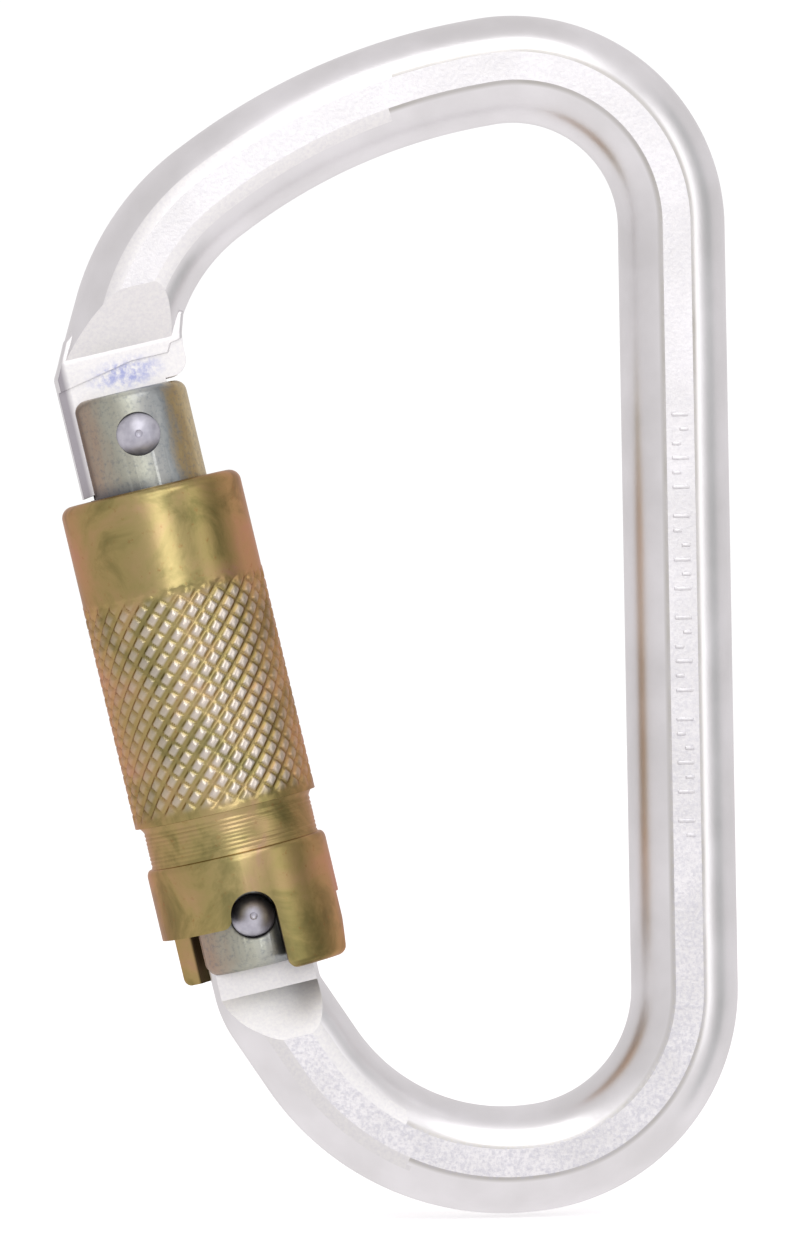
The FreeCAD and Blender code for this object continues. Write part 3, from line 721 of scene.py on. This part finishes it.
# passivated zinc on turned steel: slate grey, with long streaks up it and a scatter of blue specks;
# across the bar a painted sheen turns it brown and gold at both edges, with a painted
# highlight down the middle and a painted reflection of the grey flag right of it
olive_zinc, tree = new_material("olive_grey_zinc")
along_gate = gate_place(tree)
streak_scale = add_node(
    tree,
    "ShaderNodeVectorMath",
    {"operation": "MULTIPLY", 1: (1.0, 1.0, 0.3)},
    {0: along_gate.outputs[0]},
)
streaks = noise(tree, 1.6, streak_scale.outputs[0], {"Detail": 5.0, "Roughness": 0.6})
gate_split = add_node(tree, "ShaderNodeSeparateXYZ", links={"Vector": along_gate.outputs[0]})
round_bar = remap(tree, gate_split.outputs["X"], (-barrel_radius * MM, barrel_radius * MM))
film_drift = add_node(
    tree,
    "ShaderNodeMath",
    {"operation": "MULTIPLY_ADD", 1: 0.3, 2: -0.15},
    {0: streaks.outputs[0]},
)
across_and_streaks = add_node(
    tree, "ShaderNodeMath", {"operation": "ADD"}, {0: round_bar.outputs[0], 1: film_drift.outputs[0]}
)
# painted light by place across the bar: gold sheen at both ends of the ramp, a painted highlight at
# 0.46 and the grey flag's painted reflection at 0.74
olive_and_painted_light = ramp(
    tree,
    across_and_streaks.outputs[0],
    (0.0, "#a9917f"),
    (1.0, "#cbb98f"),
    (0.14, "#a89a8a"),
    (0.28, "#a9a99c"),
    (0.46, "#b9bbae"),
    (0.6, "#a8aaa8"),
    (0.74, "#8b8f90"),
    (0.86, "#a8936c"),
)
fine = noise(tree, 0.45, along_gate.outputs[0], {"Detail": 4.0, "Roughness": 0.65})
fine_mask = remap(tree, fine.outputs[0], (0.5, 0.72), (0.0, 0.55))
specked = dyed(tree, fine_mask.outputs[0], olive_and_painted_light.outputs[0], "#6f7780")
# grime in the seam round the hinge rivet, and a dark blue-grey band on the outer side,
# darkest just above the sleeve and fading upward
round_hinge = add_node(
    tree,
    "ShaderNodeVectorMath",
    {"operation": "MULTIPLY", 1: (1, 0, 1)},
    {0: along_gate.outputs[0]},
)
off_hinge = add_node(
    tree, "ShaderNodeVectorMath", {"operation": "LENGTH"}, {0: round_hinge.outputs[0]}
)
hinge_grime = remap(tree, off_hinge.outputs["Value"], (2.5 * MM, 2.75 * MM), (1.0, 0.0))
grimed = dyed(tree, hinge_grime.outputs[0], specked.outputs[2], "#2c2b2c")
dark_band_height = remap(
    tree,
    gate_split.outputs["Z"],
    ((latch_rise - 6.0) * MM, (latch_rise - 4.3) * MM),
    (0.75, 0.0),
)
dark_band_side = remap(tree, gate_split.outputs["X"], (-0.5 * MM, 1.5 * MM), (1.0, 0.0))
above_sleeve = add_node(
    tree,
    "ShaderNodeMath",
    {"operation": "GREATER_THAN", 1: latch_rise / 2 * MM},
    {0: gate_split.outputs["Z"]},
)
dark_band_top = times(tree, dark_band_height.outputs[0], above_sleeve.outputs[0])
dark_band = times(tree, dark_band_top.outputs[0], dark_band_side.outputs[0])
dark_banded = dyed(tree, dark_band.outputs[0], grimed.outputs[2], "#565b66")
olive_rough = remap(tree, fine.outputs[0], (0.0, 1.0), (0.3, 0.5))
scuff = add_node(
    tree,
    "ShaderNodeBump",
    {"Strength": 0.3, "Distance": 0.05 * MM},
    {"Height": fine.outputs[0]},
)
close_material(
    tree,
    add_node(
        tree,
        "ShaderNodeBsdfPrincipled",
        {"Metallic": 1.0},
        {
            "Base Color": dark_banded.outputs[2],
            "Roughness": olive_rough.outputs[0],
            "Normal": scuff.outputs[0],
        },
    ),
)
settle(barrel, "gate", olive_zinc, ["gate_barrel"])

# ------------------------------------------------------------------ riveted pins
# Two steel pins, one to hinge on and one to latch by, pressed through the barrel
# and headed over both ends with a rotary riveter that leaves a small dimple.

pin_reach = 7.8
head_radius, head_edge, head_seat = 2.45, 6.3, 5.9


def riveted_pin(name, shaft, rise):
    """A headed pin lying across the gate at that height."""
    crown = pin_reach - 0.02
    dome = (head_radius**2 + (crown - head_edge) ** 2) / (2 * (crown - head_edge))
    rim = math.degrees(math.asin(head_radius / dome))
    cap = arc(0, crown - dome, dome, 90 - rim, 81, 14)
    cap = [(head_radius, head_seat), (head_radius, head_edge)] + cap[1:]
    cap += [(0.42, crown - 0.05), (0.3, crown - 0.16), (0, crown - 0.24)]
    upper = [(shaft, head_seat)] + cap
    lower = [(r, -z) for r, z in reversed(upper)]
    shape = turned(lower + upper, 72)
    bmesh.ops.rotate(shape, matrix=Matrix.Rotation(math.radians(90), 3, "X"), verts=shape.verts)
    bmesh.ops.translate(shape, vec=(0, 0, rise), verts=shape.verts)
    return loose_object(name, shape)


hinge_rivet = riveted_pin("hinge_rivet", 2.0, 0.0)
latch_rivet = riveted_pin("latch_rivet", 1.75, latch_rise)

# burnished steel heads: cool violet grey, smooth, with faint peening marks
rivet_steel, tree = new_material("burnished_rivet_steel")
place = add_node(tree, "ShaderNodeTexCoord")
peen = add_node(
    tree,
    "ShaderNodeTexVoronoi",
    {"Scale": 1 / (0.9 * MM)},
    {"Vector": place.outputs["Object"]},
)
rivet_cloud = noise(tree, 1.2, place.outputs["Object"], {"Detail": 4.0})
rivet_colour = ramp(tree, rivet_cloud.outputs[0], (0.35, "#b6b5c0"), (0.7, "#d2d1da"))
dent = add_node(
    tree,
    "ShaderNodeBump",
    {"Strength": 0.06, "Distance": 0.1 * MM},
    {"Height": peen.outputs["Distance"]},
)
close_material(
    tree,
    add_node(
        tree,
        "ShaderNodeBsdfPrincipled",
        {"Metallic": 1.0, "Roughness": 0.5},
        {"Base Color": rivet_colour.outputs[0], "Normal": dent.outputs[0]},
    ),
)
settle(hinge_rivet, "gate", rivet_steel, ["hinge_pin"])
settle(latch_rivet, "gate", rivet_steel, ["latch_pin"])

# ------------------------------------------------------------------ locking sleeve
# The sleeve a hand lifts and turns: turned steel tube with a diamond-rolled grip, a
# turned neck below it and a collar whose skirt is milled away round the hinge pin.
# Yellow chromate over zinc, which colours unevenly from olive through gold to pink.

sleeve_radius, sleeve_bore = 10.25, 8.05
neck_radius, neck_foot, neck_head = 9.5, 7.3, 12.1
grip_head, sleeve_rim = 37.5, latch_rise - 6.1
skirt_foot, short_foot, short_arc = -6.6, -0.7, 121
grip_crest, grip_depth = 10.32, 0.4
starts, pitch_up, groove_half, run_in = 28, 2.24, 0.26, 0.8
land_foot, land_head, land_radius = 14.0, 18.0, 6.72


def groove_depth(angle, z):
    """How deep the two crossing grooves cut here, from 0 on a top to 1 in a valley."""
    turn = angle / (2 * math.pi)
    rise = (z - neck_head) / pitch_up
    from_foot, from_head = (z - neck_head - 0.5) / run_in, (grip_head - z) / run_in
    fade = min(1.0, max(0.0, from_foot), max(0.0, from_head))
    deepest = 0.0
    for phase, width, share in ((starts * turn + rise, 0.8, 0.85), (starts * turn - rise, 1.15, 1.0)):
        off = abs(phase - round(phase))
        deepest = max(deepest, share * (1 - min(1.0, off / (groove_half * width))))
    return deepest * fade


grip_steps = 12
columns = starts * grip_steps
upper = [(sleeve_bore, neck_foot - 0.4), (neck_radius + 0.12, neck_foot - 0.4)]
upper += [(neck_radius + 0.06, neck_foot), (neck_radius, neck_foot + 0.15)]
neck_rings = 9
for k in range(4 * neck_rings + 1):
    z = neck_foot + 0.2 + (neck_head - neck_foot - 0.75) * k / (4 * neck_rings)
    feed_mark = 0.028 * (1 - math.cos(math.pi * k / 2)) * (1.0 + 0.6 * math.sin(1.3 * k))
    upper.append((neck_radius - feed_mark, z))
upper += [(neck_radius + 0.05, neck_head - 0.45), (grip_crest - 0.5, neck_head - 0.05)]
row_height = pitch_up / grip_steps
grip_rows = int((grip_head - neck_head) / row_height)
for k in range(grip_rows + 1):
    upper.append((grip_crest, neck_head + row_height * (k + 0.01)))
upper += [(sleeve_radius, grip_head + 0.25)]
upper += arc(sleeve_radius - 1.3, sleeve_rim - 1.3, 1.3, 0, 90, 10)
upper += [(sleeve_bore + 0.25, sleeve_rim), (sleeve_bore, sleeve_rim - 0.25)]
upper += [(sleeve_bore, land_head), (land_radius, land_head), (land_radius, land_foot)]
upper += [(sleeve_bore, land_foot)]
grip_shape = turned(upper + upper[:1], columns)
# the knurl's crests, marked for the silver the material paints on them: worn bare, and a painted
# highlight where they face the front
tops_worn_and_lit = grip_shape.verts.layers.float.new("tops_worn_and_lit")
for vert in grip_shape.verts:
    radius = math.hypot(vert.co.x, vert.co.y)
    if neck_head - 0.01 < vert.co.z < grip_head + 0.01 and radius > 10.3:
        depth = groove_depth(math.atan2(vert.co.y, vert.co.x), vert.co.z)
        wanted = grip_crest - grip_depth * depth
        vert.co.x *= wanted / radius
        vert.co.y *= wanted / radius
        inside = min(1.0, (vert.co.z - neck_head) / 1.4 - 0.5, (grip_head - vert.co.z) / 1.4 - 0.5)
        vert[tops_worn_and_lit] = max(0.0, 1 - 2.5 * depth) * max(0.0, inside)
grip = loose_object("sleeve_grip", grip_shape)

collar_radius = 10.22
collar_profile = [(sleeve_bore, skirt_foot)]
collar_profile += arc(collar_radius - 0.9, skirt_foot + 0.9, 0.9, -90, 0, 8)
shoulder_high, shoulder_deep = 0.85, 0.5
for k in range(9):
    t = math.radians(80) * k / 8
    collar_profile.append(
        (
            collar_radius - shoulder_deep * (1 - math.cos(t)),
            neck_foot - shoulder_high * (1 - math.sin(t)),
        )
    )
collar_profile += [(neck_radius + 0.07, neck_foot)]
collar_profile += [(sleeve_bore, neck_foot)]
collar = loose_object("sleeve_collar", turned(collar_profile + collar_profile[:1], 240))

notch_half, notch_rise, flare_round = 2.57, 0.28, 1.1


def notch_outline(half, right_foot, left_foot):
    """A round-topped notch whose lower corners flare out by their rounding."""
    line = arc(0, notch_rise, half, 0, 180, 24)
    line += arc(-half - flare_round, left_foot + flare_round, flare_round, 0, -90, 8)
    line += [(-half - flare_round, -9), (half + flare_round, -9)]
    line += arc(half + flare_round, right_foot + flare_round, flare_round, 270, 180, 8)
    return line


def toward(shape, turn, near):
    """Turns a cutter round the gate's axis and moves it off the axis."""
    bmesh.ops.translate(shape, vec=(0, -near, 0), verts=shape.verts)
    bmesh.ops.rotate(shape, matrix=Matrix.Rotation(math.radians(turn), 3, "Z"), verts=shape.verts)
    return shape


def sector(first, last, low, high, radius=14.0):
    """A wedge of a disc, angles in degrees from the front toward the outer side."""
    steps = 24
    shape = bmesh.new()
    rim = [math.radians(-90 - first - (last - first) * k / steps) for k in range(steps + 1)]
    ring = [shape.verts.new((radius * math.cos(t), radius * math.sin(t), low)) for t in rim]
    face = shape.faces.new([shape.verts.new((0, 0, low))] + ring)
    grown = bmesh.ops.extrude_face_region(shape, geom=[face])
    moved = [v for v in grown["geom"] if isinstance(v, bmesh.types.BMVert)]
    bmesh.ops.translate(shape, vec=(0, 0, high - low), verts=moved)
    bmesh.ops.recalc_face_normals(shape, faces=shape.faces)
    return shape


relief_half, relief_flare, relief_top = 2.85, 4.35, 0.35
relief = [(-relief_half, relief_top), (relief_half, relief_top), (relief_half, -2.6)]
relief += [(relief_flare, -6.8), (-relief_flare, -6.8), (-relief_half, -2.6)]
front_notch = notch_outline(notch_half, skirt_foot, short_foot)
back_notch = notch_outline(notch_half, skirt_foot, skirt_foot)
carve(
    collar,
    [
        loose_object("front_notch", toward(flat_shape(front_notch, 4), 0, 9)),
        loose_object("back_notch", toward(flat_shape(back_notch, 4), 180, 9)),
        loose_object("back_relief", toward(flat_shape(relief, 4), 180, 9)),
        loose_object("spine_relief", toward(flat_shape(relief, 4), 90, 9)),
        loose_object("short_edge", sector(0, short_arc, -10, short_foot)),
    ],
)
soften(collar, 0.22, 3)

# yellow chromate on zinc: gold with darker olive patches, pink where the film is thin
yellow_chromate, tree = new_material("yellow_chromate")
along_gate = gate_place(tree)
film = noise(tree, 7.0, along_gate.outputs[0], {"Detail": 5.0, "Roughness": 0.6, "Distortion": 0.6})
film_colour = ramp(
    tree,
    film.outputs[0],
    (0.28, "#817b52"),
    (0.78, "#c29a8c"),
    (0.4, "#9a8f60"),
    (0.5, "#b5a472"),
    (0.62, "#c0a67c"),
)
speck = noise(tree, 0.8, along_gate.outputs[0], {"Detail": 4.0, "Roughness": 0.7})
speck_mask = remap(tree, speck.outputs[0], (0.6, 0.75), (0.0, 0.5))
speckled = dyed(tree, speck_mask.outputs[0], film_colour.outputs[0], "#a0673f")
gate_split = add_node(tree, "ShaderNodeSeparateXYZ", links={"Vector": along_gate.outputs[0]})
round_sleeve = remap(tree, gate_split.outputs["X"], (-sleeve_radius * MM, sleeve_radius * MM))
# painted light by place across the sleeve: a painted highlight down the middle, a darker painted
# reflection of the grey flag right of it, and a painted pink sheen toward both sides
light_across_sleeve = ramp(
    tree,
    round_sleeve.outputs[0],
    (0.0, "#ffe2de"),
    (1.0, "#ffdcd8"),
    (0.09, "#ece2d8"),
    (0.28, "#e6e6da"),
    (0.5, "#ffffff"),
    (0.7, "#d8d8cc"),
    (0.82, "#d2c8ba"),
    (0.9, "#fae0da"),
)
lit_across_sleeve = add_node(
    tree,
    "ShaderNodeMix",
    {"data_type": "RGBA", "blend_type": "MULTIPLY", "Factor": 1.0},
    {6: speckled.outputs[2], 7: light_across_sleeve.outputs[0]},
)
across = add_node(
    tree,
    "ShaderNodeVectorMath",
    {"operation": "MULTIPLY", 1: (1, 1, 0)},
    {0: along_gate.outputs[0]},
)
off_axis = add_node(
    tree, "ShaderNodeVectorMath", {"operation": "LENGTH"}, {0: across.outputs[0]}
)
# painted shade: inside the bore, in the gap round the barrel, the colour is darkened to 0.12
bore_shade = remap(tree, off_axis.outputs["Value"], (8.1 * MM, 8.4 * MM), (0.12, 1.0))
bored = add_node(
    tree,
    "ShaderNodeVectorMath",
    {"operation": "SCALE"},
    {0: lit_across_sleeve.outputs[2], "Scale": bore_shade.outputs[0]},
)
# the knurl's crests are painted silver, partly as worn bare and partly as a painted highlight:
# strongest where they face the front, fading toward both sides
tops = add_node(tree, "ShaderNodeAttribute", {"attribute_name": "tops_worn_and_lit"})
front_highlight = add_node(tree, "ShaderNodeValToRGB", links={"Fac": round_sleeve.outputs[0]})
front_highlight.color_ramp.elements[0].position = 0.05
front_highlight.color_ramp.elements[0].color = (0.15, 0.15, 0.15, 1)
front_highlight.color_ramp.elements[1].position = 0.97
front_highlight.color_ramp.elements[1].color = (0.15, 0.15, 0.15, 1)
front_highlight.color_ramp.elements.new(0.4).color = (0.8, 0.8, 0.8, 1)
front_highlight.color_ramp.elements.new(0.72).color = (0.85, 0.85, 0.85, 1)
tops_lit_share = times(tree, tops.outputs["Fac"], front_highlight.outputs[0])
silver_tops_and_highlight = dyed(tree, tops_lit_share.outputs[0], bored.outputs[0], "#dcd3cc")
chromate_rough = remap(tree, film.outputs[0], (0.0, 1.0), (0.22, 0.4))
pebble = add_node(
    tree,
    "ShaderNodeBump",
    {"Strength": 0.2, "Distance": 0.06 * MM},
    {"Height": speck.outputs[0]},
)
close_material(
    tree,
    add_node(
        tree,
        "ShaderNodeBsdfPrincipled",
        {"Metallic": 1.0, "Specular Tint": linear("#f6e0da")},
        {
            "Base Color": silver_tops_and_highlight.outputs[2],
            "Roughness": chromate_rough.outputs[0],
            "Normal": pebble.outputs[0],
        },
    ),
)
settle(grip, "sleeve", yellow_chromate, ["locking_sleeve"], 50)
settle(collar, "sleeve", yellow_chromate, ["locking_sleeve"], 35)

# ------------------------------------------------------------------ hidden springs
# Inside the sleeve: a wire spring between a washer on the sleeve's land and a ring
# in the barrel's groove. Inside the barrel's foot: a plunger and its spring. All
# bright drawn or turned steel with a thin film of oil.

oiled_steel, tree = new_material("oiled_spring_steel")
place = add_node(tree, "ShaderNodeTexCoord")
draw_marks = noise(tree, 0.6, place.outputs["Object"], {"Detail": 4.0})
oiled_colour = ramp(tree, draw_marks.outputs[0], (0.0, "#6c6e72"), (1.0, "#9b9da2"))
oiled_bump = add_node(
    tree,
    "ShaderNodeBump",
    {"Strength": 0.15, "Distance": 0.03 * MM},
    {"Height": draw_marks.outputs[0]},
)
close_material(
    tree,
    add_node(
        tree,
        "ShaderNodeBsdfPrincipled",
        {"Metallic": 1.0, "Roughness": 0.32},
        {"Base Color": oiled_colour.outputs[0], "Normal": oiled_bump.outputs[0]},
    ),
)
for name in ("gate_plunger", "spring_retaining_ring", "thrust_washer"):
    hidden = frame["nodes"][name]
    hidden.data.materials.clear()
    hidden.data.materials.append(oiled_steel)

# both springs are copied as coils of their own that ride on the gate
for name, joint, travel in (
    ("sleeve_spring", "sleeve_lift", 3.3),
    ("gate_spring", "plunger_slide", 1.65),
):
    node = frame["nodes"][name]
    wire = bmesh.new()
    wire.from_mesh(node.data)
    bmesh.ops.transform(wire, matrix=node.matrix_world, verts=wire.verts)
    coil_mesh = bpy.data.meshes.new(name + "_coil")
    wire.to_mesh(coil_mesh)
    wire.free()
    coil_mesh.materials.append(oiled_steel)
    coil = bpy.data.objects.new(name + "_coil", coil_mesh)
    scene.collection.objects.link(coil)
    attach(coil, "gate")
    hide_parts(name)
    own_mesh(coil)
